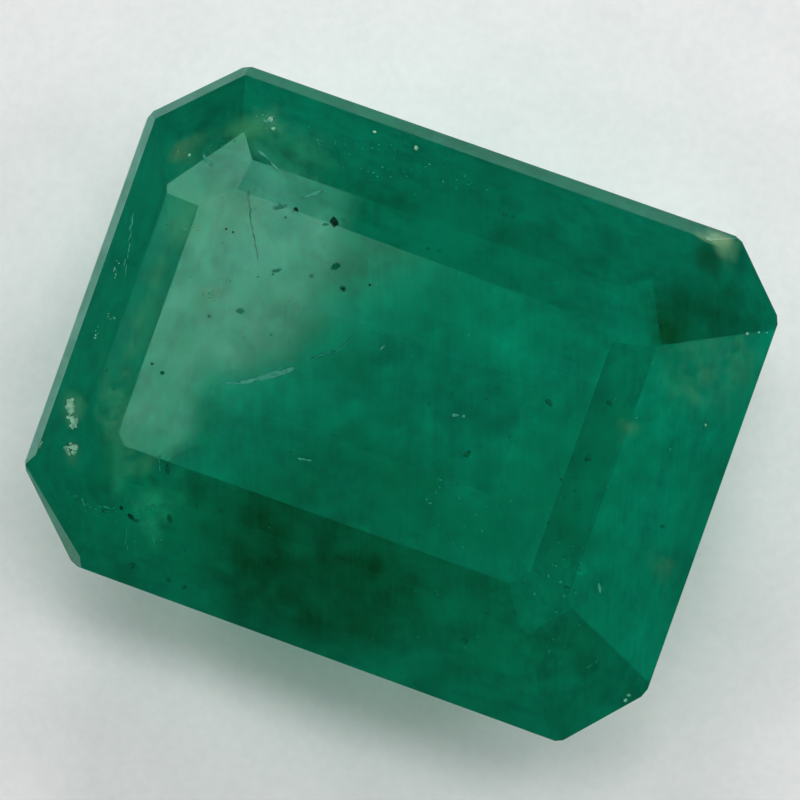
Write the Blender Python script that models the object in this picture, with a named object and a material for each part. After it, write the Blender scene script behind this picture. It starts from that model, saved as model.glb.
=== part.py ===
"""A step-cut emerald, 10 mm long, ground as one solid from a rough crystal.

The stone stands on its open culet with the table up. The origin is the middle of the culet's
plane, +X runs along the length, and +Z goes up through the table. Each facet is one straight
cut across a block, as it is on a cutter's lap.
"""

import math
from typing import NamedTuple

import bmesh
import bpy
from mathutils import Vector

# Driving dimensions, in millimetres
LENGTH = 10.0
WIDTH = 8.09
PAVILION_DEPTH = 3.70
GIRDLE_THICKNESS = 0.25
RIM_RISE = 0.124
STEP_RISE = 0.62
CROWN_HEIGHT = 0.75
VERTEX_WEAR = 0.028
SPARE_ROCK = 0.5

METRES_PER_MM = 0.001
SMALLEST_EDGE = 0.002

GIRDLE_LOW = PAVILION_DEPTH
GIRDLE_TOP = GIRDLE_LOW + GIRDLE_THICKNESS
RIM = GIRDLE_TOP + RIM_RISE
STEP = GIRDLE_TOP + STEP_RISE
TABLE = GIRDLE_TOP + CROWN_HEIGHT

BODY_COLOUR = (0.004, 0.162, 0.095, 1.0)
BODY_ROUGHNESS = 0.12
BERYL_IOR = 1.577


class Facet(NamedTuple):
    """A flat cut through a low and a high point, each its distance from the axis and its height."""

    azimuth: float
    low: tuple
    high: tuple


# The outline seen from above: each wall's azimuth and its distance from the axis
WALLS = {
    "right": (0.0, LENGTH / 2),
    "upper_right": (45.0, 5.71),
    "upper": (90.35, WIDTH / 2 - 0.022),
    "upper_left": (135.6, 5.547),
    "left": (180.0, LENGTH / 2),
    "lower_left": (226.0, 5.503),
    "lower": (269.55, WIDTH / 2 - 0.031),
    "lower_right": (318.7, 5.685),
}

# The ground bevel that the saw left over the girdle, on the upper and left sides alone
RIM_FACETS = (
    Facet(90.0, (4.03, GIRDLE_TOP), (3.85, RIM)),
    Facet(135.6, (5.547, GIRDLE_TOP), (5.427, RIM)),
    Facet(180.0, (LENGTH / 2, GIRDLE_TOP), (4.88, RIM)),
    Facet(228.3, (5.420, GIRDLE_TOP), (5.303, RIM)),
)

# The lower crown step, whose left facet is narrow and whose right facet is broad
MAIN_FACETS = (
    Facet(0.0, (LENGTH / 2, GIRDLE_TOP), (3.39, STEP)),
    Facet(45.0, (5.60, GIRDLE_TOP), (3.87, STEP)),
    Facet(90.0, (3.85, RIM), (2.71, STEP)),
    Facet(135.6, (5.427, RIM), (4.35, STEP)),
    Facet(180.0, (4.88, RIM), (4.32, STEP)),
    Facet(226.0, (5.503, GIRDLE_TOP), (4.30, STEP)),
    Facet(269.8, (4.03, GIRDLE_TOP), (2.54, STEP)),
    Facet(318.7, (5.571, GIRDLE_TOP), (3.876, STEP)),
)

# The upper crown step, round a table that sits towards the left
INNER_FACETS = (
    Facet(0.0, (3.39, STEP), (2.72, TABLE)),
    Facet(52.9, (4.00, STEP - 0.080), (3.16, TABLE)),
    Facet(89.4, (2.71, STEP), (2.14, TABLE)),
    Facet(133.0, (4.27, STEP - 0.011), (3.87, TABLE)),
    Facet(180.0, (4.32, STEP), (3.80, TABLE)),
    Facet(226.0, (4.30, STEP + 0.017), (3.98, TABLE)),
    Facet(270.0, (2.54, STEP), (2.02, TABLE)),
    Facet(318.7, (3.79, STEP), (3.19, TABLE)),
)

# A blow has flattened the rim beside its upper right end
RIM_CHIP = Facet(76.0, (4.665, GIRDLE_TOP + 0.090), (4.495, GIRDLE_TOP + 0.186))

# Each pavilion step: the height it starts at and how far it leans out from the level
PAVILION_STEPS = (
    (GIRDLE_LOW, 60.0),
    (2.35, 50.0),
    (1.05, 40.0),
)


def compass(azimuth):
    """Level unit vector that points along an azimuth in degrees, counted from +X."""
    angle = math.radians(azimuth)
    return Vector((math.cos(angle), math.sin(angle), 0.0))


def cut(bm, point, outward):
    """Slice off what lies beyond a plane and close the slice with one flat face."""
    geometry = bm.verts[:] + bm.edges[:] + bm.faces[:]
    done = bmesh.ops.bisect_plane(
        bm,
        geom=geometry,
        dist=SMALLEST_EDGE / 100,
        plane_co=point,
        plane_no=outward,
        clear_outer=True,
    )
    rim = [item for item in done["geom_cut"] if isinstance(item, bmesh.types.BMEdge)]
    if len(rim) > 2:
        bmesh.ops.contextual_create(bm, geom=rim)


def cut_facet(bm, facet):
    """Cut one crown facet through its low and high points."""
    out = compass(facet.azimuth)
    run = facet.low[0] - facet.high[0]
    rise = facet.high[1] - facet.low[1]
    point = out * facet.low[0] + Vector((0.0, 0.0, facet.low[1]))
    cut(bm, point, (out * rise + Vector((0.0, 0.0, run))).normalized())


def cut_outline(bm):
    """Cut the eight upright walls, then wear their corners a little."""
    walls = list(WALLS.values())
    for azimuth, reach in walls:
        cut(bm, compass(azimuth) * reach, compass(azimuth))
    for (first, near), (second, far) in zip(walls, walls[1:] + walls[:1]):
        turn = math.radians((second - first) % 360.0)
        along = (far - near * math.cos(turn)) / math.sin(turn)
        corner = compass(first) * near + compass(first + 90.0) * along
        between = compass(first + math.degrees(turn) / 2)
        cut(bm, corner - between * VERTEX_WEAR, between)


def cut_pavilion(bm):
    """Cut the stepped underside, each step leaning in further than the one above it."""
    for azimuth, reach in WALLS.values():
        out = compass(azimuth)
        floors = [height for height, _ in PAVILION_STEPS[1:]] + [0.0]
        for (height, lean), floor in zip(PAVILION_STEPS, floors):
            angle = math.radians(lean)
            point = out * reach + Vector((0.0, 0.0, height))
            cut(bm, point, out * math.sin(angle) - Vector((0.0, 0.0, math.cos(angle))))
            reach -= (height - floor) / math.tan(angle)


def centre_on_axis(bm):
    """Slide the stone until the middle of its outline lies over the origin."""
    shift = Vector((0.0, 0.0, 0.0))
    for axis in (0, 1):
        ends = [vert.co[axis] for vert in bm.verts]
        shift[axis] = -(min(ends) + max(ends)) / 2
    bmesh.ops.translate(bm, vec=shift, verts=bm.verts)


def emerald_material():
    """Deep green beryl with a glassy polish."""
    material = bpy.data.materials.new("emerald")
    material.use_nodes = True
    shader = material.node_tree.nodes["Principled BSDF"]
    shader.inputs["Base Color"].default_value = BODY_COLOUR
    shader.inputs["Roughness"].default_value = BODY_ROUGHNESS
    shader.inputs["Metallic"].default_value = 0.0
    shader.inputs["IOR"].default_value = BERYL_IOR
    return material


def build_stone():
    """Grind the whole stone from a block and link it to the scene."""
    bm = bmesh.new()
    bmesh.ops.create_cube(bm, size=1.0)
    block = (LENGTH + SPARE_ROCK, WIDTH + SPARE_ROCK, TABLE)
    bmesh.ops.scale(bm, vec=block, verts=bm.verts)
    bmesh.ops.translate(bm, vec=(0.0, 0.0, TABLE / 2), verts=bm.verts)
    cut_outline(bm)
    for facet in RIM_FACETS + MAIN_FACETS + INNER_FACETS + (RIM_CHIP,):
        cut_facet(bm, facet)
    cut_pavilion(bm)
    bmesh.ops.dissolve_degenerate(bm, dist=SMALLEST_EDGE, edges=bm.edges)
    bmesh.ops.recalc_face_normals(bm, faces=bm.faces)
    centre_on_axis(bm)
    bmesh.ops.scale(bm, vec=(METRES_PER_MM,) * 3, verts=bm.verts)

    mesh = bpy.data.meshes.new("cut_emerald")
    bm.to_mesh(mesh)
    bm.free()
    mesh.materials.append(emerald_material())
    stone = bpy.data.objects.new("cut_emerald", mesh)
    bpy.context.scene.collection.objects.link(stone)
    return stone


for old in list(bpy.data.objects):
    bpy.data.objects.remove(old, do_unlink=True)
build_stone()
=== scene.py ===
"""Dresses a step-cut emerald, 10 mm long, and lights it on a pale table top.

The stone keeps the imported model's facets. Its beryl is cloudy glass: light goes through it, and what
grew inside it shows, such as dark grains, pale feathers, growth tubes and iron stains. Places on the
stone are given in millimetres from the middle of the culet, +X along the length and +Z up.
"""

import logging
import math
import random
from dataclasses import dataclass, field
from enum import Enum
from typing import Any, NamedTuple

import bmesh
import bpy
from mathutils import Euler, Matrix, Vector, noise
from mathutils.bvhtree import BVHTree


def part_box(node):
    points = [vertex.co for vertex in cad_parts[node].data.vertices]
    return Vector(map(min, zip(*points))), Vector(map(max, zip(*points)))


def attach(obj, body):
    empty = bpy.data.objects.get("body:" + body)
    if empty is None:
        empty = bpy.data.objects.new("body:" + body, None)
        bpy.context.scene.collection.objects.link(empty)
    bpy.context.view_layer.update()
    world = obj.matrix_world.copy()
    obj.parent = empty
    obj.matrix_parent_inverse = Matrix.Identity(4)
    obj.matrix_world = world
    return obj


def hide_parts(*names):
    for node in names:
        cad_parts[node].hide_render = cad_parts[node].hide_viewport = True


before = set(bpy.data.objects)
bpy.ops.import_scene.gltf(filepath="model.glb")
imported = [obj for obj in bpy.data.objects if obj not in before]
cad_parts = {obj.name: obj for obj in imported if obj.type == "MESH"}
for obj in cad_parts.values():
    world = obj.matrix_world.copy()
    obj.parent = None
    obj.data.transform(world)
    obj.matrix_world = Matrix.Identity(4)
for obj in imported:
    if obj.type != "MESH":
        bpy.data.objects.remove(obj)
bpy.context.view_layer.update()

LOG = logging.getLogger("emerald")
Socket = bpy.types.NodeSocket

MM = 0.001
NODE = "cut_emerald"
BODY = "root"
PICTURE_ROLL = 19.6
# Fixes how noise shakes the painted zones, which would otherwise be drawn from the clock
SHAKE_SEED = 1795852751
SIDE_TURN = 45
# A facet's normal points up more than this on the table, and less than this on the walls
LEVEL = 0.999
UPRIGHT = 0.05
FACET_LOOK = "facet_look"
SOFT_VEIL = "soft_veil"
CLUMPED_VEIL = "clumped_veil"


def linear(hex_colour: str) -> tuple[float, float, float, float]:
    """Turn an sRGB hex colour into linear light.

    Args:
        hex_colour: Six hex digits, with or without a leading mark.

    Returns:
        Linear red, green, blue and an alpha of one.
    """
    digits = hex_colour.lstrip("#")
    parts = [int(digits[start:start + 2], 16) / 255 for start in (0, 2, 4)]
    light = [part / 12.92 if part <= 0.04045 else ((part + 0.055) / 1.055) ** 2.4 for part in parts]
    return (light[0], light[1], light[2], 1.0)


def direction(azimuth: float, zenith: float = 90.0) -> Vector:
    """Give the unit vector at an azimuth counted from +X and a zenith down from straight up, in degrees."""
    around, down = math.radians(azimuth), math.radians(zenith)
    return Vector((math.cos(around) * math.sin(down), math.sin(around) * math.sin(down), math.cos(down)))


class Row(Enum):
    """The rows of facets, from the top down."""

    TABLE = "table"
    INNER = "inner step"
    MAIN = "main step"
    RIM = "ground rim"
    GIRDLE = "girdle"
    PAVILION = "pavilion"


class Side(Enum):
    """The eight sides of the outline, each with the azimuth it faces."""

    RIGHT = 0
    UPPER_RIGHT = 45
    UPPER = 90
    UPPER_LEFT = 135
    LEFT = 180
    LOWER_LEFT = 225
    LOWER = 270
    LOWER_RIGHT = 315


class Look(NamedTuple):
    """What one facet shows: the light and shade painted into it from 0 to 1, its share of the haze, and its
    ground frost.
    """

    painted_glow: float
    haze: float = 0.0
    frost: float = 0.0


# Painted light and shade: how bright each facet is painted, for the light it brings back up out of the stone
LOOKS = {
    (Row.INNER, Side.RIGHT): Look(0.355),
    (Row.INNER, Side.UPPER_RIGHT): Look(0.415),
    (Row.INNER, Side.UPPER): Look(0.355, haze=0.85),
    (Row.INNER, Side.UPPER_LEFT): Look(0.415, haze=0.85),
    (Row.INNER, Side.LEFT): Look(0.325, haze=0.22),
    (Row.INNER, Side.LOWER_LEFT): Look(0.355, haze=0.10),
    (Row.INNER, Side.LOWER): Look(0.285),
    (Row.INNER, Side.LOWER_RIGHT): Look(0.375),
    (Row.MAIN, Side.RIGHT): Look(0.495),
    (Row.MAIN, Side.UPPER_RIGHT): Look(0.205),
    (Row.MAIN, Side.UPPER): Look(0.247),
    (Row.MAIN, Side.UPPER_LEFT): Look(0.152),
    (Row.MAIN, Side.LEFT): Look(0.265),
    (Row.MAIN, Side.LOWER_LEFT): Look(0.262),
    (Row.MAIN, Side.LOWER): Look(0.332),
    (Row.MAIN, Side.LOWER_RIGHT): Look(0.262),
    (Row.RIM, Side.UPPER): Look(0.34, frost=0.15),
    (Row.RIM, Side.UPPER_RIGHT): Look(0.40, frost=0.90),
    (Row.RIM, Side.UPPER_LEFT): Look(0.38, frost=0.40),
    (Row.RIM, Side.LEFT): Look(0.38, frost=0.70),
    (Row.RIM, Side.LOWER_LEFT): Look(0.36, frost=0.30),
}

# The same for the rows that look alike on every side
EVEN_LOOKS = {
    Row.TABLE: Look(0.50, haze=1.0),
    Row.GIRDLE: Look(0.40, frost=0.7),
    Row.PAVILION: Look(0.955),
}


class Zone(NamedTuple):
    """An oval region seen from above, in millimetres, with its turn in degrees and its soft edge."""

    x: float
    y: float
    length: float
    width: float
    turn: float = 0.0
    fade: float = 0.5

    def share(self, spot: Vector) -> float:
        """Say how far a spot lies inside the oval.

        Args:
            spot: The spot in millimetres.

        Returns:
            1 inside, 0 outside, and between them over the soft edge.
        """
        away = spot - Vector((self.x, self.y, 0.0))
        along = away.dot(direction(self.turn)) * 2 / self.length
        across = away.dot(direction(self.turn + 90.0)) * 2 / self.width
        depth = (1.0 + self.fade - math.hypot(along, across)) / (2 * self.fade)
        depth = max(0.0, min(1.0, depth))
        return depth * depth * (3.0 - 2.0 * depth)


class Stain(NamedTuple):
    """A coloured cloud: where it lies, its colour, its strength, whether it is clumped, and its only side.

    A side keeps it off the facets that face another way.
    """

    zone: Zone
    colour: str
    strength: float
    clumped: bool = True
    side: Side | None = None


class Pattern(NamedTuple):
    """A noise pattern's sizes.

    Its grain is in millimetres along the turned X and Y and along Z. The noise rises from 0 to 1
    within its spread to either side of one half. Detail counts octaves of finer noise, fineness
    says how strong they are, turn is in degrees, and shift slides it in millimetres, so that two
    patterns differ.
    """

    grain: tuple[float, float, float]
    spread: float = 0.2
    detail: float = 2.0
    shift: float = 0.0
    turn: float = 0.0
    fineness: float = 0.6


def add_node(tree: bpy.types.NodeTree, kind: str, inputs: dict[str | int, Any]) -> bpy.types.Node:
    """Add a node with its settings and links.

    Args:
        tree: The tree that gets the node.
        kind: The node's class in Blender.
        inputs: The node's own settings by name, and its inputs by name or number, each a value or the
            socket that feeds it.

    Returns:
        The new node.
    """
    node = tree.nodes.new(kind)
    for key, value in inputs.items():
        if isinstance(value, Socket):
            tree.links.new(value, node.inputs[key])
        elif isinstance(key, str) and hasattr(node, key):
            setattr(node, key, value)
        else:
            node.inputs[key].default_value = value
    return node


class Recipe:
    """A material's node tree while it is being filled."""

    def __init__(self, name: str) -> None:
        """Start an empty material with a Principled shader.

        Args:
            name: The material's name.
        """
        self.material = bpy.data.materials.new(name)
        self.material.use_nodes = True
        self.tree = self.material.node_tree
        self.shader = self.tree.nodes["Principled BSDF"]
        self.output = self.tree.nodes["Material Output"]
        self.place = self.add("ShaderNodeTexCoord", {}).outputs["Object"]

    def add(self, kind: str, inputs: dict[str | int, Any]) -> bpy.types.Node:
        """Add a node to this material."""
        return add_node(self.tree, kind, inputs)

    def constants(self, values: dict[str, Any]) -> None:
        """Set the shader's own sockets to plain values."""
        for key, value in values.items():
            self.shader.inputs[key].default_value = value

    def feed(self, sockets: dict[str, Socket]) -> None:
        """Link patterns to the shader's inputs."""
        for key, socket in sockets.items():
            self.tree.links.new(socket, self.shader.inputs[key])

    def cloud(self, pattern: Pattern) -> Socket:
        """Make a noise pattern of a real size.

        Args:
            pattern: Its sizes.

        Returns:
            A socket from 0 to 1.
        """
        place = self.place
        if pattern.turn:
            turned = {"vector_type": "TEXTURE", "Rotation": (0.0, 0.0, math.radians(pattern.turn))}
            place = self.add("ShaderNodeMapping", {"Vector": place, **turned}).outputs[0]
        spot = self.add("ShaderNodeVectorMath", {
            "operation": "MULTIPLY_ADD", 0: place,
            1: tuple(1.0 / (size * MM) for size in pattern.grain),
            2: tuple(-pattern.shift / size for size in pattern.grain),
        }).outputs[0]
        noisy = self.add("ShaderNodeTexNoise", {
            "Vector": spot, "Scale": 1.0, "Detail": pattern.detail, "Roughness": pattern.fineness,
        }).outputs["Fac"]
        return self.add("ShaderNodeMapRange", {
            "interpolation_type": "SMOOTHSTEP", "Value": noisy,
            "From Min": 0.5 - pattern.spread, "From Max": 0.5 + pattern.spread,
        }).outputs[0]

    def veil(self, under: Socket, name: str, share: Any = 1.0) -> Socket:
        """Lay a painted veil over a colour.

        Args:
            under: The lower colour.
            name: The mesh attribute that holds the veil's colour, already dimmed by its own strength.
            share: How much of the veil shows, a socket or a number.

        Returns:
            The veiled colour's socket.
        """
        paint = self.add("ShaderNodeAttribute", {"attribute_type": "GEOMETRY", "attribute_name": name})
        strength = {"operation": "MULTIPLY", 0: paint.outputs["Alpha"], 1: share}
        strength = self.add("ShaderNodeMath", strength).outputs[0]
        passed = self.add("ShaderNodeMath", {"operation": "SUBTRACT", 0: 1.0, 1: strength}).outputs[0]
        dimmed = {"operation": "SCALE", 0: under, "Scale": passed}
        dimmed = self.add("ShaderNodeVectorMath", dimmed).outputs[0]
        over = {"operation": "SCALE", 0: paint.outputs["Color"], "Scale": share}
        over = self.add("ShaderNodeVectorMath", over).outputs[0]
        return self.add("ShaderNodeVectorMath", {"operation": "ADD", 0: dimmed, 1: over}).outputs[0]


# Painted light and shade: where the body is painted brighter or darker than its facet, and by how much; the
# one the size of the culet paints light over the darker floor seen up through it
PAINTED_LIGHT_AND_SHADE = (
    (Zone(2.0, 0.8, 4.4, 2.8, 20.0, 0.7), 0.03),
    (Zone(0.1, 0.0, 3.6, 1.9, 0.0, 0.2), 0.03),
    (Zone(0.0, -1.5, 4.6, 1.4, -4.0, 0.6), -0.15),
    (Zone(-0.3, -3.0, 4.0, 1.5, -4.0, 0.6), -0.22),
    (Zone(-1.9, -0.9, 1.9, 1.5, 10.0, 0.6), 0.10),
    (Zone(-4.0, -2.9, 2.2, 1.6, 30.0, 0.6), 0.04),
    (Zone(-2.6, 3.5, 2.4, 1.0, 0.0, 0.6), 0.08),
    (Zone(3.35, 2.5, 0.50, 1.1, 28.0, 0.5), -0.13),
    (Zone(4.15, 3.05, 0.35, 0.7, 10.0, 0.6), -0.09),
    (Zone(4.5, 3.2, 0.9, 0.6, -45.0, 0.6), 0.05),
    (Zone(4.85, 0.0, 0.45, 5.0, 0.0, 0.4), -0.09),
    (Zone(3.83, -2.65, 0.7, 0.35, 10.0, 0.6), -0.07),
    (Zone(-1.2, 0.7, 2.0, 0.9, 50.0, 0.6), 0.09),
    (Zone(2.2, 2.45, 2.2, 0.9, 0.0, 0.6), 0.06),
    (Zone(2.2, -1.75, 1.6, 0.8, 0.0, 0.6), 0.04),
    (Zone(-3.6, -2.7, 1.6, 1.2, 20.0, 0.6), 0.05),
)

# Where the haze lies, and how thick it is: part cloud in the beryl, part painted reflection of the panel
HAZE = (
    (Zone(-3.60, 1.28, 4.2, 3.8, 52.0, 0.26), 1.0),
    (Zone(-3.50, -0.75, 1.15, 3.2, 0.0, 0.32), 0.75),
)

# Coloured clouds: iron stains, pale bruises and wisps of cloud, and some painted shade and painted reflection
STAINS = (
    Stain(Zone(-4.7, 0.0, 1.5, 7.8, 0.0, 0.5), "069a88", 0.28, clumped=False),
    Stain(Zone(0.5, 3.6, 9.0, 1.3, 0.0, 0.5), "069a88", 0.10, clumped=False),
    Stain(Zone(-2.70, 3.08, 1.4, 0.6, 2.0, 0.6), "3fa488", 0.35),
    Stain(Zone(-3.26, 3.28, 0.42, 0.26, 20.0, 0.7), "7cb89c", 0.55),
    Stain(Zone(-3.44, 3.13, 0.62, 0.30, 38.0, 0.7), "74a070", 0.42, clumped=False),
    Stain(Zone(-2.72, 3.02, 0.7, 0.5, 0.0, 0.7), "66a884", 0.12, clumped=False),
    # A wisp in the haze's colours past its facet's edge: part cloud, part painted reflection
    Stain(Zone(-3.98, 2.48, 1.4, 0.36, 54.0, 0.6), "5cae96", 0.18),
    Stain(Zone(-3.05, 2.76, 0.8, 0.12, -22.0, 0.5), "62b49c", 0.40, clumped=False),
    Stain(Zone(-2.40, 2.66, 0.9, 0.20, -8.0, 0.5), "5cae96", 0.35),
    # A wisp in the haze's colour over the top of the left inner step: part cloud, part painted reflection
    Stain(Zone(-4.02, 1.55, 0.45, 0.9, 0.0, 0.6), "62a890", 0.50, clumped=False),
    Stain(Zone(-4.36, 2.41, 0.26, 0.24, 30.0, 0.6), "86805c", 0.45, clumped=False),
    Stain(Zone(-4.2, 2.62, 0.5, 0.12, 40.0, 0.6), "7fa07c", 0.25, clumped=False),
    Stain(Zone(-3.78, 1.37, 0.40, 0.20, 10.0, 0.6), "9c9468", 0.45),
    Stain(Zone(-3.22, 0.54, 0.34, 0.16, 20.0, 0.6), "8c7a4c", 0.60),
    Stain(Zone(-3.3, 1.8, 1.1, 0.7, 0.0, 0.6), "90b890", 0.35),
    Stain(Zone(2.9, -2.8, 2.2, 1.5, 30.0, 0.6), "0e9a7c", 0.20),
    Stain(Zone(3.40, 0.71, 0.2, 0.2, 0.0, 0.6), "7f9c74", 0.60),
    Stain(Zone(4.57, -1.06, 0.24, 0.16, 0.0, 0.6), "7f9474", 0.50),
    Stain(Zone(4.20, 2.10, 1.1, 1.2, 20.0, 0.7), "629c7c", 0.42, side=Side.RIGHT),
    Stain(Zone(4.06, 1.49, 0.4, 0.24, 10.0, 0.6), "6c946c", 0.30),
    Stain(Zone(4.66, 2.44, 0.24, 0.6, 10.0, 0.6), "6c9870", 0.35, side=Side.RIGHT),
    Stain(Zone(-4.05, 0.0, 0.22, 2.6, 0.0, 0.6), "6f9c7c", 0.40),
    Stain(Zone(-3.98, -1.55, 0.40, 1.2, 20.0, 0.6), "6fa484", 0.55),
    Stain(Zone(-3.4, -2.1, 0.5, 0.5, 20.0, 0.6), "83b08c", 0.30),
    Stain(Zone(-4.58, -1.82, 0.24, 0.40, 15.0, 0.5), "7aac92", 0.60, clumped=False),
    Stain(Zone(-4.39, -2.34, 0.24, 0.22, 20.0, 0.5), "6fa088", 0.55, clumped=False),
    Stain(Zone(3.72, 3.86, 0.50, 0.16, 0.0, 0.4), "c4cca4", 0.85, clumped=False),
    Stain(Zone(3.86, 3.72, 0.26, 0.12, -40.0, 0.5), "8f9c78", 0.45, clumped=False),
    Stain(Zone(3.66, 3.58, 0.44, 0.24, -25.0, 0.6), "10260e", 0.85, clumped=False),
    # Painted shade: dark mottled patches kept to the upper-right corner facet, which brings back less light
    Stain(Zone(3.16, 2.60, 0.34, 1.0, 40.0, 0.6), "0a3c1c", 0.55, side=Side.UPPER_RIGHT),
    Stain(Zone(3.45, 2.35, 0.5, 0.3, 30.0, 0.6), "0a3c1c", 0.60, clumped=False, side=Side.UPPER_RIGHT),
    Stain(Zone(4.10, 3.05, 0.5, 0.9, 20.0, 0.7), "0a3c1c", 0.40, side=Side.UPPER_RIGHT),
    Stain(Zone(-2.95, -2.80, 0.50, 0.56, 0.0, 0.6), "3fc8a0", 0.55),
    Stain(Zone(-2.82, -3.10, 0.12, 0.7, 20.0, 0.6), "2fc498", 0.22, clumped=False),
    Stain(Zone(-3.60, -2.45, 0.14, 0.6, 14.0, 0.6), "4fb090", 0.30, clumped=False),
    Stain(Zone(-2.66, -2.40, 0.12, 0.7, 20.0, 0.6), "2fb490", 0.25, clumped=False),
)


@dataclass(frozen=True)
class CloudyBeryl:
    """Beryl, grown in hot water and ground flat on a lap.

    The eye gets deep green glass that light crosses, each facet painted lighter or darker for the light it
    returns, softened by cloud and a haze that is partly painted reflection, with polished facets, a frosted
    ground rim, and faint growth lines that lean one way.
    """

    name: str = "cloudy_beryl"
    ior: float = 1.577
    see_through: float = 0.66
    deep: str = "002916"
    middle: str = "007c68"
    bright: str = "00a890"
    open: str = "18ffd8"
    middle_at: float = 0.5
    bright_at: float = 0.75
    # The haze's colour: part cloud, part painted reflection of the panel
    haze: str = "78c0b2"
    frost: str = "a6c6cc"
    absorb_red: float = 700.0
    absorb_green: float = 10.0
    absorb_blue: float = 60.0
    polish: float = 0.05
    ground: float = 0.55
    hidden_polish: float = 0.80
    polish_change: float = 0.01
    # How thickly the haze is painted over its wisps, as cloud and as painted reflection
    milk_and_sheen_least: float = 0.38
    milk_and_sheen_spread: float = 0.50
    frost_least: float = 0.50
    frost_spread: float = 0.60
    broad: Pattern = Pattern((1.5, 1.5, 1.5))
    mottle: Pattern = Pattern((0.40, 0.40, 0.40), 0.25, detail=3.5, shift=3.1)
    growth: Pattern = Pattern((0.07, 1.5, 0.5), shift=1.7, turn=20.0)
    wisps: Pattern = Pattern((0.6, 0.6, 0.6), 0.25, detail=3.0, shift=5.3)
    clumps: Pattern = Pattern((0.20, 0.20, 0.20), 0.22, shift=7.7)
    # The lap's pits, about 0.02 mm, are too fine to show, so the frost is drawn as patches of them
    frost_patches: Pattern = Pattern((0.35, 0.35, 0.35), 0.25, shift=6.1)
    broad_depth: float = 0.12
    mottle_depth: float = 0.15
    growth_depth: float = 0.045

    def make(self, girdle_low: float) -> bpy.types.Material:
        """Build the material.

        Args:
            girdle_low: Height of the girdle's lower edge in metres, under which the cut is less fine.

        Returns:
            The material.
        """
        recipe = Recipe(self.name)
        look = recipe.add("ShaderNodeAttribute", {"attribute_type": "GEOMETRY", "attribute_name": FACET_LOOK})
        parts = recipe.add("ShaderNodeSeparateColor", {0: look.outputs["Color"]})
        painted_glow, haze, frost = parts.outputs
        colour = self.body(recipe, painted_glow)
        colour = self.clouds(recipe, colour, haze)
        colour = self.ground_rim(recipe, colour, frost)
        recipe.feed({"Base Color": colour, "Roughness": self.roughness(recipe, frost, girdle_low)})
        recipe.constants({"Metallic": 0.0, "IOR": self.ior, "Transmission Weight": self.see_through})
        self.absorb(recipe)
        return recipe.material

    def body(self, recipe: Recipe, painted_glow: Socket) -> Socket:
        """Mix the greens: the light and shade painted on each facet, mottling and growth lines.

        Args:
            recipe: The material being filled.
            painted_glow: The light and shade painted on the mesh.

        Returns:
            The green's socket.
        """
        patterns = (self.broad, self.mottle, self.growth)
        depths = (self.broad_depth, self.mottle_depth, self.growth_depth)
        for pattern, depth in zip(patterns, depths):
            centred = {"operation": "SUBTRACT", 0: recipe.cloud(pattern), 1: 0.5}
            centred = recipe.add("ShaderNodeMath", centred).outputs[0]
            added = {"operation": "MULTIPLY_ADD", 0: centred, 1: depth, 2: painted_glow}
            painted_glow = recipe.add("ShaderNodeMath", added).outputs[0]
        ramp = recipe.add("ShaderNodeValToRGB", {0: painted_glow})
        ends = ramp.color_ramp.elements
        ends[0].color, ends[1].color = linear(self.deep), linear(self.open)
        ends.new(self.middle_at).color = linear(self.middle)
        ends.new(self.bright_at).color = linear(self.bright)
        return ramp.outputs["Color"]

    def clouds(self, recipe: Recipe, colour: Socket, haze: Socket) -> Socket:
        """Lay the haze, part cloud and part painted reflection, and the stains over the green.

        Args:
            recipe: The material being filled.
            colour: The green so far.
            haze: The haze painted on the mesh.

        Returns:
            The clouded colour's socket.
        """
        wisps = recipe.cloud(self.wisps)
        thick = {"operation": "MULTIPLY_ADD", 0: wisps, 1: self.milk_and_sheen_spread, 2: self.milk_and_sheen_least}
        thick = recipe.add("ShaderNodeMath", thick).outputs[0]
        milk_and_sheen = recipe.add("ShaderNodeMath", {"operation": "MULTIPLY", 0: haze, 1: thick}).outputs[0]
        milk_and_sheen_mix = {"data_type": "RGBA", 0: milk_and_sheen, 6: colour, 7: linear(self.haze)}
        colour = recipe.add("ShaderNodeMix", milk_and_sheen_mix).outputs[2]
        colour = recipe.veil(colour, SOFT_VEIL)
        return recipe.veil(colour, CLUMPED_VEIL, recipe.cloud(self.clumps))

    def ground_rim(self, recipe: Recipe, colour: Socket, frost: Socket) -> Socket:
        """Lay patchy ground frost over the rim.

        Args:
            recipe: The material being filled.
            colour: The colour so far.
            frost: The facet's frost.

        Returns:
            The frosted colour's socket.
        """
        patches = recipe.cloud(self.frost_patches)
        share = {"operation": "MULTIPLY_ADD", 0: patches, 1: self.frost_spread, 2: self.frost_least}
        share = recipe.add("ShaderNodeMath", share).outputs[0]
        share = recipe.add("ShaderNodeMath", {"operation": "MULTIPLY", 0: share, 1: frost}).outputs[0]
        frosted = {"data_type": "RGBA", 0: share, 6: colour, 7: linear(self.frost)}
        return recipe.add("ShaderNodeMix", frosted).outputs[2]

    def roughness(self, recipe: Recipe, frost: Socket, girdle_low: float) -> Socket:
        """Polish the crown, leave the rim ground and the hidden side less fine.

        Args:
            recipe: The material being filled.
            frost: The facet's frost.
            girdle_low: Height of the girdle's lower edge in metres.

        Returns:
            The roughness socket.
        """
        height = recipe.add("ShaderNodeSeparateXYZ", {0: recipe.place}).outputs["Z"]
        edge = self.polish_change * MM
        base = recipe.add("ShaderNodeMapRange", {
            "Value": height, "From Min": girdle_low - edge, "From Max": girdle_low + edge,
            "To Min": self.hidden_polish, "To Max": self.polish,
        }).outputs[0]
        rough = {"operation": "MULTIPLY_ADD", "use_clamp": True, 0: frost, 1: self.ground, 2: base}
        return recipe.add("ShaderNodeMath", rough).outputs[0]

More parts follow.
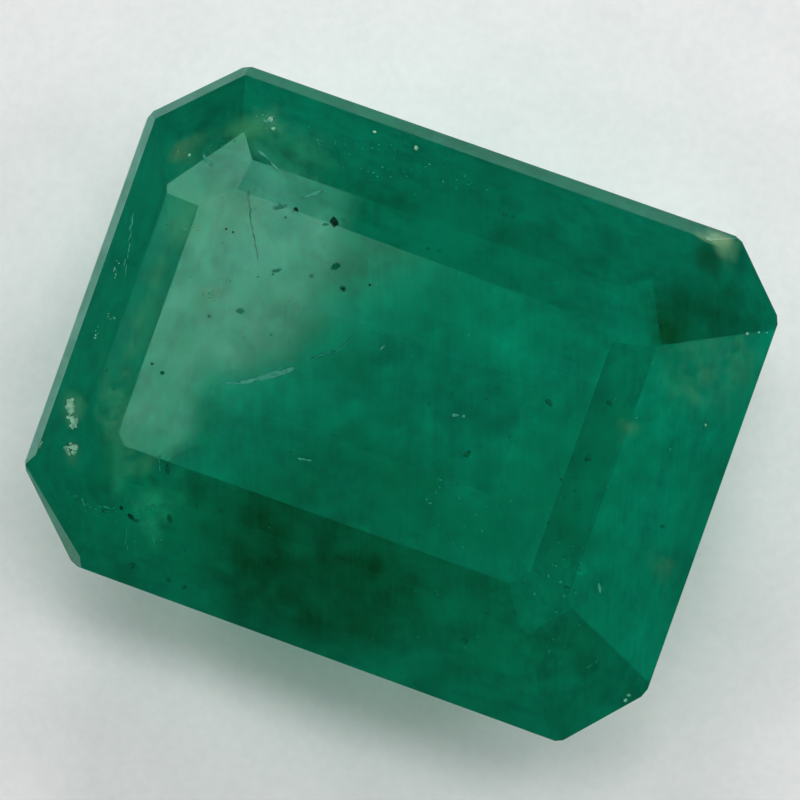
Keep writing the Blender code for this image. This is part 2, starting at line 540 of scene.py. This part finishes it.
    def absorb(self, recipe: Recipe) -> None:
        """Let the body drink the red light, and a little of the rest.

        Args:
            recipe: The material being filled.
        """
        density = max(self.absorb_red, self.absorb_green, self.absorb_blue)
        passed = [1.0 - part / density for part in (self.absorb_red, self.absorb_green, self.absorb_blue)]
        volume = recipe.add("ShaderNodeVolumeAbsorption", {"Color": (*passed, 1.0), "Density": density})
        recipe.tree.links.new(volume.outputs[0], recipe.output.inputs["Volume"])


@dataclass(frozen=True)
class Mineral:
    """A mineral grown inside the beryl, opaque, with a grain of its own."""

    name: str
    dark: str
    light: str
    grain: float
    rough: float
    rough_spread: float = 0.15
    shine: float = 0.03

    def make(self) -> bpy.types.Material:
        """Build the material.

        Returns:
            The material.
        """
        recipe = Recipe(self.name)
        patches = recipe.cloud(Pattern((self.grain,) * 3))
        mixed = {"data_type": "RGBA", 0: patches, 6: linear(self.dark), 7: linear(self.light)}
        colour = recipe.add("ShaderNodeMix", mixed).outputs[2]
        dull = recipe.add("ShaderNodeMapRange", {
            "Value": patches, "To Min": self.rough, "To Max": self.rough + self.rough_spread,
        }).outputs[0]
        recipe.feed({"Base Color": colour, "Roughness": dull})
        recipe.constants({"Specular IOR Level": self.shine})
        return recipe.material


# Mica schist caught as the crystal grew: nearly black green flakes, flat
SCHIST = Mineral("mica_schist", "001c12", "06301f", 0.05, 0.7)
# Chips of schist that lie just under the skin, so that green beryl veils them
DEEP_SCHIST = Mineral("deep_mica_schist", "004028", "045c3c", 0.05, 0.7)
# Air and water in healed cracks, seen through the green: a paler, bluer green
HEALED_CRACK = Mineral("healed_crack", "287864", "3f8c78", 0.08, 0.6)
# The same a little deeper: only just paler than the beryl round it
DEEP_CRACK = Mineral("deep_healed_crack", "0a6850", "187860", 0.08, 0.6)
# Schist under the haze, part cloud and part painted reflection, which leaves it a soft grey green
MILKY_SHEENED_SCHIST = Mineral("milky_sheened_mica_schist", "145c48", "28745e", 0.05, 0.7)
# Iron oxide that seeped in along tubes, seen through the green: a dull grey green, flat
IRON_OXIDE = Mineral("iron_oxide", "2a664a", "4a8468", 0.06, 0.7)
# Calcite where the skin is bruised: a chalky, pale grey green
BRUISE = Mineral("bruised_calcite", "4a8c70", "86b89c", 0.10, 0.7)


@dataclass
class Stone:
    """The whole cut stone, with worn facet edges and one cloudy green body."""

    name: str = "cloudy_emerald"
    girdle_wear: float = 0.015
    flat_turn: float = 0.3
    grid: float = 0.16
    broad_grain: float = 0.9
    broad_reach: float = 0.35
    fine_grain: float = 0.3
    fine_reach: float = 0.10
    table_slack: float = 0.03
    rim_reach: float = 0.3
    wear_below: float = 0.01
    wear_above: float = 0.2
    weld: float = 0.0001
    line_snap: float = 0.001
    finish: CloudyBeryl = field(default_factory=CloudyBeryl)

    def __post_init__(self) -> None:
        """Read the stone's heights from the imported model."""
        _, self.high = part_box(NODE)
        shell = self.merged_copy()
        self.skin = BVHTree.FromBMesh(shell)
        walls = [face for face in shell.faces if abs(face.normal.z) < UPRIGHT]
        heights = [vert.co.z for face in walls for vert in face.verts]
        self.girdle_low, self.girdle_top = min(heights), max(heights)
        shell.free()

    def merged_copy(self) -> bmesh.types.BMesh:
        """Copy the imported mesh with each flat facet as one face.

        Returns:
            The copy.
        """
        bm = bmesh.new()
        bm.from_mesh(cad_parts[NODE].data)
        bmesh.ops.remove_doubles(bm, verts=bm.verts, dist=self.weld * MM)
        bmesh.ops.dissolve_limit(bm, angle_limit=math.radians(self.flat_turn), verts=bm.verts, edges=bm.edges)
        bm.normal_update()
        return bm

    def surface(self, x: float, y: float) -> tuple[Vector | None, Vector | None]:
        """Find the stone's skin from above.

        Args:
            x: Millimetres along the length.
            y: Millimetres across.

        Returns:
            The point in metres, and the skin's normal there, or two Nones beside the stone.
        """
        start = Vector((x * MM, y * MM, self.high.z + MM))
        point, normal, _, _ = self.skin.ray_cast(start, Vector((0.0, 0.0, -1.0)))
        return point, normal

    def row(self, face: bmesh.types.BMFace) -> Row:
        """Name the row that a facet belongs to.

        Args:
            face: The facet.

        Returns:
            The row.
        """
        heights = [vert.co.z for vert in face.verts]
        if face.normal.z > LEVEL:
            return Row.TABLE
        if abs(face.normal.z) < UPRIGHT:
            return Row.GIRDLE
        if face.normal.z < 0:
            return Row.PAVILION
        if max(heights) > self.high.z - self.table_slack * MM:
            return Row.INNER
        rim_top = self.girdle_top + self.rim_reach * MM
        return Row.RIM if max(heights) < rim_top else Row.MAIN

    def look(self, face: bmesh.types.BMFace) -> Look:
        """Give a facet its look."""
        row = self.row(face)
        return EVEN_LOOKS[row] if row in EVEN_LOOKS else LOOKS[(row, self.side(face))]

    def side(self, face: bmesh.types.BMFace) -> Side:
        """Name the side that a sloping facet faces."""
        azimuth = math.degrees(math.atan2(face.normal.y, face.normal.x)) % 360
        return Side(round(azimuth / SIDE_TURN) * SIDE_TURN % 360)

    def rule_grid(self, bm: bmesh.types.BMesh) -> None:
        """Rule a fine grid over the crown, flat in each facet, so that paint can vary across it.

        Args:
            bm: The stone's mesh, which is changed.
        """
        for axis in (Vector((1.0, 0.0, 0.0)), Vector((0.0, 1.0, 0.0))):
            reach = self.high.dot(axis)
            lines = int(2 * reach / (self.grid * MM))
            for line in range(1, lines + 1):
                crown = [face for face in bm.faces if face.normal.z > UPRIGHT]
                edges = dict.fromkeys(edge for face in crown for edge in face.edges)
                verts = dict.fromkeys(vert for face in crown for vert in face.verts)
                bmesh.ops.bisect_plane(
                    bm, geom=[*verts, *edges, *crown], dist=self.line_snap * MM,
                    plane_co=axis * (line * self.grid * MM - reach), plane_no=axis,
                )
        # The cuts leave the faces in an order of chance, and each run is to give the same mesh
        ordered = sorted(bm.faces, key=lambda face: tuple(face.calc_center_median()))
        ranks = {face: rank for rank, face in enumerate(ordered)}
        bm.faces.sort(key=ranks.get)

    def paint(self, bm: bmesh.types.BMesh) -> None:
        """Paint the light and shade, the haze with its painted reflection, and the stains on the crown's
        grid.

        Args:
            bm: The stone's mesh, whose colour layers are written.
        """
        noise.seed_set(SHAKE_SEED)
        look = bm.loops.layers.float_color[FACET_LOOK]
        names = {False: SOFT_VEIL, True: CLUMPED_VEIL}
        veils = {clumped: bm.loops.layers.float_color.new(name) for clumped, name in names.items()}
        inks = [(stain, Vector(linear(stain.colour)[:3])) for stain in STAINS]
        for loop in [loop for face in bm.faces for loop in face.loops]:
            for veil in veils.values():
                loop[veil] = (0.0, 0.0, 0.0, 0.0)
        for vert in [vert for vert in bm.verts if vert.co.z >= self.girdle_low]:
            spot = Vector((vert.co.x, vert.co.y, 0.0)) / MM
            far = spot + noise.noise_vector(spot / self.broad_grain) * self.broad_reach
            near = spot + noise.noise_vector(spot / self.fine_grain) * self.fine_reach
            shade = sum(zone.share(far) * shift for zone, shift in PAINTED_LIGHT_AND_SHADE)
            haze = max(zone.share(far) * thickness for zone, thickness in HAZE)
            shares = [(stain, ink, stain.zone.share(near) * stain.strength) for stain, ink in inks]
            shares = [item for item in shares if item[2] > 0.0]
            for loop in [loop for loop in vert.link_loops if loop.face.normal.z > -UPRIGHT]:
                painted_glow, hazed, frost, _ = loop[look]
                loop[look] = (painted_glow + shade, hazed * haze, frost, 1.0)
                for clumped, veil in veils.items():
                    loop[veil] = self.stained(loop.face, clumped, shares)

    def stained(
        self, face: bmesh.types.BMFace, clumped: bool, shares: list[tuple[Stain, Vector, float]]
    ) -> tuple[float, float, float, float]:
        """Lay the stains of one kind over each other.

        Args:
            face: The face that is painted.
            clumped: Which kind is laid.
            shares: The stains at the spot, each with its colour and how strong it is there.

        Returns:
            The colour, dimmed by its own strength, and the strength.
        """
        tint, cover = Vector(), 0.0
        for stain, ink, share in shares:
            if stain.clumped is clumped and stain.side in (None, self.side(face)):
                tint, cover = tint.lerp(ink, share), cover + (1.0 - cover) * share
        return (*tint, cover)

    def build(self) -> bpy.types.Object:
        """Make the dressed stone.

        Returns:
            The stone's object.
        """
        bm = self.merged_copy()
        layer = bm.loops.layers.float_color.new(FACET_LOOK)
        for face in bm.faces:
            look = self.look(face)
            for loop in face.loops:
                loop[layer] = (look.painted_glow, look.haze, look.frost, 1.0)
        lowest, highest = self.girdle_low - self.wear_below * MM, self.girdle_top + self.wear_above * MM
        worn = [edge for edge in bm.edges if all(lowest < vert.co.z < highest for vert in edge.verts)]
        bmesh.ops.bevel(bm, geom=worn, offset=self.girdle_wear * MM, segments=2,
                        profile=0.5, affect="EDGES", material=-1, clamp_overlap=True)
        self.rule_grid(bm)
        self.paint(bm)
        bmesh.ops.triangulate(bm, faces=bm.faces)
        piece = link_mesh(self.name, bm, self.finish.make(self.girdle_low))
        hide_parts(NODE)
        return piece


def link_mesh(name: str, bm: bmesh.types.BMesh, material: bpy.types.Material) -> bpy.types.Object:
    """Turn a bmesh into a piece that rides on the stone's body.

    Args:
        name: The piece's name.
        bm: The mesh, in metres, which is freed.
        material: Its finish.

    Returns:
        The piece.
    """
    mesh = bpy.data.meshes.new(name)
    bm.to_mesh(mesh)
    bm.free()
    mesh.materials.append(material)
    piece = bpy.data.objects.new(name, mesh)
    bpy.context.scene.collection.objects.link(piece)
    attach(piece, BODY)
    return piece


class Grain(NamedTuple):
    """A grain that reaches the skin: its place, length, width in millimetres, and turn in degrees."""

    x: float
    y: float
    length: float
    width: float
    turn: float = 0.0

    def scatter(self, chance: random.Random) -> list["Grain"]:
        """Give the grain alone, with nothing left to chance."""
        return [self]


@dataclass(frozen=True)
class Trail:
    """Grains strung along a healed crack or a growth tube, from point to point in millimetres."""

    points: tuple[tuple[float, float], ...]
    width: float
    spacing: float = 0.06
    stray: float = 0.012
    lengths: tuple[float, float] = (0.9, 1.8)
    widths: tuple[float, float] = (0.5, 1.3)
    swing: float = 14.0

    def scatter(self, chance: random.Random) -> list[Grain]:
        """String the grains.

        Args:
            chance: The source of the small differences.

        Returns:
            The grains.
        """
        grains = []
        for start, end in zip(self.points, self.points[1:]):
            run, rise = end[0] - start[0], end[1] - start[1]
            turn = math.degrees(math.atan2(rise, run))
            steps = max(2, round(math.hypot(run, rise) / self.spacing))
            for step in range(steps):
                share = (step + 0.5) / steps
                grains.append(Grain(
                    start[0] + run * share + chance.gauss(0.0, self.stray),
                    start[1] + rise * share + chance.gauss(0.0, self.stray),
                    self.spacing * chance.uniform(*self.lengths),
                    self.width * chance.uniform(*self.widths),
                    turn + chance.uniform(-self.swing, self.swing),
                ))
        return grains


@dataclass(frozen=True)
class Cluster:
    """Grains crowded in an oval, as in a bruise or a fingerprint of fluid drops."""

    zone: Zone
    count: int
    size: float
    sizes: tuple[float, float] = (0.5, 1.6)
    widths: tuple[float, float] = (0.4, 0.9)
    swing: float = 50.0
    middle_share: float = 1.2
    thinning: float = 0.6

    def scatter(self, chance: random.Random) -> list[Grain]:
        """Crowd the grains.

        Args:
            chance: The source of the small differences.

        Returns:
            The grains.
        """
        grains = []
        for _ in range(self.count):
            reach = math.sqrt(chance.random())
            spot = direction(chance.uniform(0.0, 360.0)) * reach
            spot.x *= self.zone.length / 2
            spot.y *= self.zone.width / 2
            spot.rotate(Euler((0.0, 0.0, math.radians(self.zone.turn))))
            size = self.size * chance.uniform(*self.sizes) * (self.middle_share - self.thinning * reach)
            grains.append(Grain(
                self.zone.x + spot.x, self.zone.y + spot.y, size, size * chance.uniform(*self.widths),
                self.zone.turn + chance.uniform(-self.swing, self.swing),
            ))
        return grains


BLACK_GRAINS = (
    Grain(-1.81, 2.20, 0.17, 0.12, -50.0),
    Grain(-2.41, 2.19, 0.09, 0.06, -25.0),
    Grain(-3.21, -3.00, 0.12, 0.06, -20.0),
    Grain(-3.39, -2.92, 0.07, 0.05, -40.0),
    Grain(-0.99, 1.49, 0.04, 0.04),
    Grain(-1.35, 1.30, 0.05, 0.04, -20.0),
    Grain(-3.30, 1.56, 0.04, 0.04),
    Grain(-3.19, 1.55, 0.04, 0.04),
)

VEILED_GRAINS = (
    Grain(-1.56, 1.58, 0.16, 0.10, 45.0),
    Grain(-1.35, 1.30, 0.10, 0.08, -20.0),
    Grain(-3.48, -0.80, 0.07, 0.06),
    Grain(-3.67, -0.72, 0.05, 0.04),
    Grain(-0.35, 2.30, 0.05, 0.04),
    Grain(-0.18, 2.33, 0.05, 0.04),
    Grain(0.57, 3.18, 0.08, 0.06),
    Grain(0.69, 3.18, 0.05, 0.04),
    Grain(1.24, -0.41, 0.12, 0.09, 60.0),
    Grain(2.97, 0.15, 0.12, 0.08, 70.0),
    Grain(2.72, -0.30, 0.07, 0.05),
    Grain(3.00, 1.03, 0.09, 0.07),
    Grain(2.13, 0.73, 0.14, 0.07, -25.0),
    Grain(4.38, -0.45, 0.06, 0.05),
    Grain(3.33, -1.79, 0.08, 0.07),
    Grain(2.14, -3.08, 0.11, 0.08),
    Grain(-3.61, -3.05, 0.09, 0.06, 40.0),
    Grain(-3.12, -3.03, 0.10, 0.05, -10.0),
    Grain(-2.65, -2.83, 0.14, 0.06, -60.0),
    Grain(-2.95, -3.69, 0.10, 0.08, 20.0),
    Grain(-2.92, -2.13, 0.13, 0.06, -65.0),
    Grain(-2.36, -3.72, 0.09, 0.07, -50.0),
    Grain(-2.10, -3.74, 0.07, 0.05, 50.0),
    Grain(-2.34, -2.52, 0.08, 0.05, 10.0),
    Grain(-1.96, -2.46, 0.06, 0.05, 10.0),
    Grain(-0.82, -2.74, 0.06, 0.05),
    Grain(0.70, -2.85, 0.06, 0.05),
    Grain(-1.27, -1.27, 0.05, 0.04),
    Grain(-1.18, -2.44, 0.07, 0.05, -30.0),
)

# Fine pepper, thicker towards the lower side
PEPPER = (
    Cluster(Zone(1.0, 0.6, 5.0, 3.0), 46, 0.020),
    Cluster(Zone(0.0, -2.6, 7.5, 2.2), 80, 0.026),
    Cluster(Zone(2.9, -0.4, 0.8, 2.4), 18, 0.032),
    Cluster(Zone(0.6, 3.1, 6.6, 1.2), 40, 0.022),
    Cluster(Zone(-4.2, -0.4, 0.9, 5.0), 30, 0.022),
    Cluster(Zone(3.9, -0.6, 1.6, 4.6), 26, 0.020),
)

# Schist grains under the haze, painted paler for its cloud and its painted reflection
MILKY_SHEENED_GRAINS = (
    Grain(-1.92, 2.12, 0.10, 0.05, 20.0),
    Grain(-1.70, 2.28, 0.08, 0.05, -30.0),
    Grain(-2.66, 2.13, 0.20, 0.07, 30.0),
    Grain(-2.52, 2.02, 0.05, 0.05),
    Grain(-2.38, 1.22, 0.15, 0.07, 35.0),
    Grain(-1.86, 1.32, 0.07, 0.06),
    Grain(-2.69, 0.47, 0.14, 0.10, 20.0),
    Grain(-3.10, 0.24, 0.06, 0.05),
    Grain(-2.13, 0.29, 0.05, 0.04),
    Cluster(Zone(-2.4, 1.0, 2.6, 2.8), 34, 0.024),
    Cluster(Zone(-2.6, 2.14, 0.5, 0.14), 7, 0.045),
)

FEATHERS = (
    Grain(-2.42, -0.585, 0.34, 0.035, 20.0),
    Grain(-2.22, -0.480, 0.34, 0.060, 30.0),
    Grain(-2.02, -0.350, 0.32, 0.080, 33.0),
    Grain(-1.88, -0.250, 0.32, 0.100, 34.0),
    Grain(-1.74, -0.150, 0.28, 0.090, 38.0),
    Trail(((-4.69, 1.30), (-4.62, 0.90), (-4.54, 0.43)), 0.026, 0.09, 0.016),
    Grain(-3.16, 2.80, 0.24, 0.05, -22.0),
    Grain(-2.94, 2.69, 0.24, 0.04, -28.0),
    Grain(-3.93, 2.44, 0.24, 0.07, -28.0),
    Grain(-2.26, 2.48, 0.30, 0.06, 40.0),
    Trail(((-1.12, -1.33), (-0.93, -1.29)), 0.030, 0.05, 0.008),
    Grain(3.79, -1.64, 0.15, 0.05, -63.0),
    Grain(1.00, 0.11, 0.07, 0.05),
    Grain(0.88, 0.08, 0.14, 0.05, 20.0),
    Grain(-0.50, 0.66, 0.12, 0.03, 62.0),
    Cluster(Zone(-3.30, 3.28, 0.40, 0.22, 20.0), 14, 0.050),
    Cluster(Zone(0.6, -1.0, 5.0, 2.6), 26, 0.018),
    Cluster(Zone(0.6, 1.0, 5.6, 3.4), 30, 0.016),
    Cluster(Zone(0.4, -3.0, 7.0, 1.4), 26, 0.020),
    Cluster(Zone(3.7, 0.9, 1.6, 2.6), 20, 0.022),
    Cluster(Zone(-1.2, 3.4, 2.4, 0.7), 24, 0.024),
)

FAINT_FEATHERS = (
    Grain(-1.30, 0.27, 0.34, 0.05, 36.0),
    Grain(-1.05, 0.52, 0.40, 0.04, 62.0),
    Trail(((-2.84, -3.08), (-2.72, -3.33)), 0.020, 0.05, 0.010),
    Trail(((-4.21, -2.93), (-4.05, -3.00), (-3.85, -3.06), (-3.42, -2.94)), 0.040, 0.06, 0.020),
    Trail(((-3.10, -2.01), (-3.02, -2.21)), 0.024, 0.06, 0.010),
    Trail(((-3.22, -3.19), (-3.10, -3.51)), 0.020, 0.08, 0.012),
    Trail(((4.17, -2.66), (4.10, -2.76), (3.99, -2.87)), 0.030, 0.05, 0.014),
    Cluster(Zone(-2.97, -2.78, 0.46, 0.50), 12, 0.050),
    Cluster(Zone(-2.55, 3.28, 0.9, 0.4), 12, 0.040),
    Cluster(Zone(-3.7, 2.75, 0.6, 0.3, 40.0), 10, 0.040),
    Cluster(Zone(3.2, -2.2, 1.2, 2.4), 40, 0.045),
    Cluster(Zone(1.4, -1.2, 2.4, 1.2), 24, 0.040),
    Cluster(Zone(-3.4, -3.2, 1.8, 1.0), 24, 0.040),
    Cluster(Zone(-1.0, 3.3, 3.0, 0.8), 30, 0.035),
)

BRUISES = (
    Cluster(Zone(-4.62, -1.74, 0.13, 0.24, 10.0), 26, 0.10),
    Cluster(Zone(-4.52, -1.94, 0.22, 0.15, -30.0), 24, 0.09),
    Cluster(Zone(-4.39, -2.34, 0.20, 0.18, 20.0), 22, 0.08),
    Cluster(Zone(-4.87, -2.45, 0.06, 0.16), 7, 0.04),
    Cluster(Zone(-4.67, 0.45, 0.07, 0.30, 8.0), 9, 0.035),
    Cluster(Zone(-4.48, -0.25, 0.16, 0.14), 7, 0.035),
    Cluster(Zone(-4.63, -0.55, 0.06, 0.24, 10.0), 7, 0.035),
    Cluster(Zone(3.62, 3.87, 0.18, 0.08), 9, 0.05),
    Grain(-3.24, 3.34, 0.10, 0.09),
    Grain(-3.15, 3.22, 0.07, 0.06),
    Grain(-1.03, 3.67, 0.08, 0.09),
    Grain(4.61, 2.71, 0.06, 0.05, 20.0),
    Grain(4.77, 2.79, 0.04, 0.04),
    Grain(4.89, 2.83, 0.04, 0.03),
    Grain(4.76, -3.02, 0.06, 0.05),
    Grain(4.74, -3.11, 0.06, 0.06),
    Grain(4.48, 1.20, 0.06, 0.04, -45.0),
    Grain(-1.70, 3.69, 0.05, 0.05),
    Grain(-4.20, 2.42, 0.05, 0.05),
)

TUBES = (
    Trail(((-3.18, 2.18), (-3.02, 1.86)), 0.034, 0.10, 0.004),
    Trail(((-3.02, 1.86), (-2.86, 1.56), (-2.70, 1.30)), 0.018, 0.12, 0.004),
    Trail(((-1.92, 0.43), (-1.69, -0.02)), 0.012, 0.10, 0.006),
    Cluster(Zone(-3.80, 1.37, 0.36, 0.16, 8.0), 7, 0.03),
    Cluster(Zone(-3.22, 0.54, 0.26, 0.12, 20.0), 7, 0.04),
    Cluster(Zone(-4.36, 2.40, 0.2, 0.2), 6, 0.035),
    Cluster(Zone(-3.2, 2.0, 0.9, 0.9), 10, 0.022),
)


@dataclass
class Grains:
    """Angular grains that reach the stone's skin, at a few levels so that no two tops share a plane."""

    name: str
    stone: Stone
    places: tuple[Grain | Trail | Cluster, ...]
    finish: Mineral
    seed: int
    proud: float = 0.002
    levels: int = 7
    thick: float = 0.05
    crumple: float = 0.28
    flatness: float = 3.0
    fine_from: float = 0.04

    def build(self) -> bpy.types.Object:
        """Make one piece of all the grains.

        Returns:
            The piece.
        """
        chance = random.Random(self.seed)
        bm = bmesh.new()
        grains = [grain for place in self.places for grain in place.scatter(chance)]
        for number, grain in enumerate(grains):
            point, normal = self.stone.surface(grain.x, grain.y)
            if point is None:
                continue
            along = direction(grain.turn)
            along.z = -along.dot(normal) / normal.z
            along.normalize()
            lie = Matrix((along, normal.cross(along), normal)).transposed().to_4x4()
            thick = min(self.thick, grain.width)
            proud = self.proud * (1.0 + number % self.levels / self.levels)
            centre = point + normal * (proud - thick / 2) * MM
            size = Matrix.Diagonal((grain.length / 2 * MM, grain.width / 2 * MM, thick / 2 * MM, 1.0))
            place = Matrix.Translation(centre) @ lie @ size
            fineness = 2 if grain.length > self.fine_from else 1
            made = bmesh.ops.create_icosphere(bm, subdivisions=fineness, radius=1.0)
            for vert in made["verts"]:
                vert.co *= 1.0 + chance.uniform(-self.crumple, self.crumple)
                vert.co.z = max(-1.0, min(1.0, vert.co.z * self.flatness))
            bmesh.ops.transform(bm, matrix=place, verts=made["verts"])
        bmesh.ops.recalc_face_normals(bm, faces=bm.faces)
        return link_mesh(self.name, bm, self.finish.make())


@dataclass(frozen=True)
class MattLaminate:
    """Matt laminate, pressed against fibrous paper, so the eye gets a faint cool mottling and no gloss."""

    name: str = "matt_laminate"
    pale: str = "edecec"
    cool: str = "cfd4d8"
    fibres: Pattern = Pattern((1.2, 1.2, 1.2))
    # The matt press plate's own grain, over the clumps of paper fibres
    grain: Pattern = Pattern((0.16, 0.16, 0.16), shift=3.0)
    mottle: float = 0.14
    rough: float = 0.85
    shine: float = 0.2

    def make(self) -> bpy.types.Material:
        """Build the material.

        Returns:
            The material.
        """
        recipe = Recipe(self.name)
        both = {"operation": "ADD", 0: recipe.cloud(self.fibres), 1: recipe.cloud(self.grain)}
        both = recipe.add("ShaderNodeMath", both).outputs[0]
        share = recipe.add("ShaderNodeMath", {"operation": "MULTIPLY", 0: both, 1: self.mottle}).outputs[0]
        mottled = {"data_type": "RGBA", 0: share, 6: linear(self.pale), 7: linear(self.cool)}
        recipe.feed({"Base Color": recipe.add("ShaderNodeMix", mottled).outputs[2]})
        recipe.constants({"Roughness": self.rough, "Specular IOR Level": self.shine})
        return recipe.material


@dataclass
class Floor:
    """A pale matt table top."""

    half_width: float = 0.9
    gap: float = 0.00002
    finish: MattLaminate = field(default_factory=MattLaminate)

    def build(self) -> bpy.types.Object:
        """Lay the table top under the culet.

        Returns:
            The floor.
        """
        bm = bmesh.new()
        bmesh.ops.create_grid(bm, x_segments=1, y_segments=1, size=self.half_width)
        bmesh.ops.translate(bm, vec=(0.0, 0.0, -self.gap), verts=bm.verts)
        mesh = bpy.data.meshes.new("table_top")
        bm.to_mesh(mesh)
        bm.free()
        mesh.materials.append(self.finish.make())
        floor = bpy.data.objects.new("table_top", mesh)
        bpy.context.scene.collection.objects.link(floor)
        return floor


@dataclass(frozen=True)
class SoftLight:
    """A soft light above the stone, whose middle is given in the picture's own directions."""

    name: str
    azimuth: float
    zenith: float
    distance: float
    size: tuple[float, float]
    radiance: float
    level: bool = False

    def build(self) -> None:
        """Hang the light, aimed at the stone or level, with its first side along its azimuth."""
        data = bpy.data.lights.new(self.name, "AREA")
        data.shape = "RECTANGLE" if self.level else "ELLIPSE"
        data.size, data.size_y = self.size
        share_of_square = 1.0 if self.level else math.pi / 4
        data.energy = self.radiance * math.pi * self.size[0] * self.size[1] * share_of_square
        light = bpy.data.objects.new(self.name, data)
        towards = direction(self.azimuth + PICTURE_ROLL, self.zenith)
        light.location = towards * self.distance
        tilt = 0.0 if self.level else math.radians(self.zenith)
        light.rotation_euler = Euler((0.0, tilt, math.radians(self.azimuth + PICTURE_ROLL)))
        bpy.context.scene.collection.objects.link(light)


@dataclass(frozen=True)
class Panel:
    """A level panel to one side of the lens, which the table's left end mirrors as a pale haze."""

    azimuth: float = 123.8
    height: float = 0.30
    near_edge: float = 0.0056
    far_edge: float = 0.275
    left_edge: float = 0.078
    right_edge: float = 0.085
    radiance: float = 0.52

    def build(self) -> None:
        """Hang the panel."""
        along = (self.near_edge + self.far_edge) / 2
        across = (self.left_edge - self.right_edge) / 2
        reach = math.hypot(along, across)
        zenith = math.degrees(math.atan2(reach, self.height))
        size = (self.far_edge - self.near_edge, self.left_edge + self.right_edge)
        distance = math.hypot(reach, self.height)
        SoftLight("panel", self.azimuth, zenith, distance, size, self.radiance, level=True).build()


# Each hangs where no polished crown facet mirrors it into the lens
SOFT_LIGHTS = (
    SoftLight("key", 90.0, 15.0, 0.40, (0.085, 0.085), 11.0),
    SoftLight("key_right", 45.0, 15.0, 0.40, (0.085, 0.085), 11.0),
    SoftLight("key_left", 135.0, 15.0, 0.40, (0.085, 0.085), 3.5),
    SoftLight("upper_left", 136.0, 50.0, 0.40, (0.11, 0.11), 8.0),
    SoftLight("upper", 93.0, 50.0, 0.40, (0.11, 0.11), 10.0),
    SoftLight("upper_right", 48.0, 50.0, 0.40, (0.11, 0.11), 10.0),
    SoftLight("left", 183.0, 50.0, 0.40, (0.11, 0.11), 4.5),
    SoftLight("right", 3.0, 33.0, 0.40, (0.085, 0.085), 8.0),
    SoftLight("lower_right", -43.0, 54.0, 0.40, (0.11, 0.11), 1.5),
    SoftLight("side_right", 0.0, 68.0, 0.60, (0.20, 0.55), 3.0),
    SoftLight("side_lower", -90.0, 68.0, 0.60, (0.20, 0.55), 1.2),
    SoftLight("side_left", 180.0, 68.0, 0.60, (0.20, 0.55), 0.5),
    SoftLight("side_upper", 90.0, 68.0, 0.60, (0.20, 0.55), 0.4),
)


@dataclass(frozen=True)
class Studio:
    """The room: dim overhead, pale at the horizon, with soft lights above the stone."""

    overhead: float = 0.03
    horizon: float = 0.75
    horizon_rise: float = 0.05
    horizon_end: float = 0.075
    air: str = "f2f6fa"

    def build(self) -> None:
        """Fill the world and hang the lights."""
        scene = bpy.context.scene
        scene.view_settings.view_transform = "Standard"
        world = bpy.data.worlds.new("studio")
        scene.world = world
        world.use_nodes = True
        tree = world.node_tree
        place = add_node(tree, "ShaderNodeTexCoord", {})
        height = add_node(tree, "ShaderNodeSeparateXYZ", {0: place.outputs["Generated"]})
        fade = add_node(tree, "ShaderNodeMapRange", {
            "Value": height.outputs["Z"], "From Min": self.horizon_rise, "From Max": self.horizon_end,
            "To Min": self.horizon, "To Max": self.overhead,
        })
        back = tree.nodes["Background"]
        back.inputs["Color"].default_value = linear(self.air)
        tree.links.new(fade.outputs[0], back.inputs["Strength"])
        Panel().build()
        for light in SOFT_LIGHTS:
            light.build()


@dataclass(frozen=True)
class Camera:
    """A long lens straight above the table, rolled as the stone lies in the picture."""

    lens: float = 400.0
    film: float = 36.0
    frame_width: float = 12.064
    aim: tuple[float, float] = (0.016, 0.015)
    clip: tuple[float, float] = (0.01, 5.0)

    def build(self, height: float) -> None:
        """Hang the camera.

        Args:
            height: The height in metres at which the frame has its width.
        """
        data = bpy.data.cameras.new("above")
        data.lens = self.lens
        data.sensor_width = self.film
        data.clip_start, data.clip_end = self.clip
        camera = bpy.data.objects.new("above", data)
        rise = self.frame_width * MM * self.lens / self.film
        camera.location = (self.aim[0] * MM, self.aim[1] * MM, height + rise)
        camera.rotation_euler = Euler((0.0, 0.0, math.radians(PICTURE_ROLL)))
        bpy.context.scene.collection.objects.link(camera)
        bpy.context.scene.camera = camera


def main() -> None:
    """Build the stone, what grew in it, the table top, the light and the camera."""
    logging.basicConfig(level=logging.INFO, format="%(message)s")
    stone = Stone()
    Camera().build(stone.girdle_top)
    Studio().build()
    Floor().build()
    specks = VEILED_GRAINS + PEPPER
    pieces = [
        stone.build(),
        Grains("schist_grains", stone, BLACK_GRAINS, SCHIST, seed=11).build(),
        Grains("veiled_schist_grains", stone, specks, DEEP_SCHIST, seed=15, proud=0.001).build(),
        Grains("milky_sheened_schist_grains", stone, MILKY_SHEENED_GRAINS, MILKY_SHEENED_SCHIST, seed=17, proud=0.001).build(),
        Grains("healed_feathers", stone, FEATHERS, HEALED_CRACK, seed=12).build(),
        Grains("deep_feathers", stone, FAINT_FEATHERS, DEEP_CRACK, seed=16, proud=0.001).build(),
        Grains("bruises", stone, BRUISES, BRUISE, seed=13).build(),
        Grains("iron_tubes", stone, TUBES, IRON_OXIDE, seed=14).build(),
    ]
    for piece in pieces:
        LOG.info("%s: %d faces", piece.name, len(piece.data.polygons))


if __name__ == "__main__":
    main()
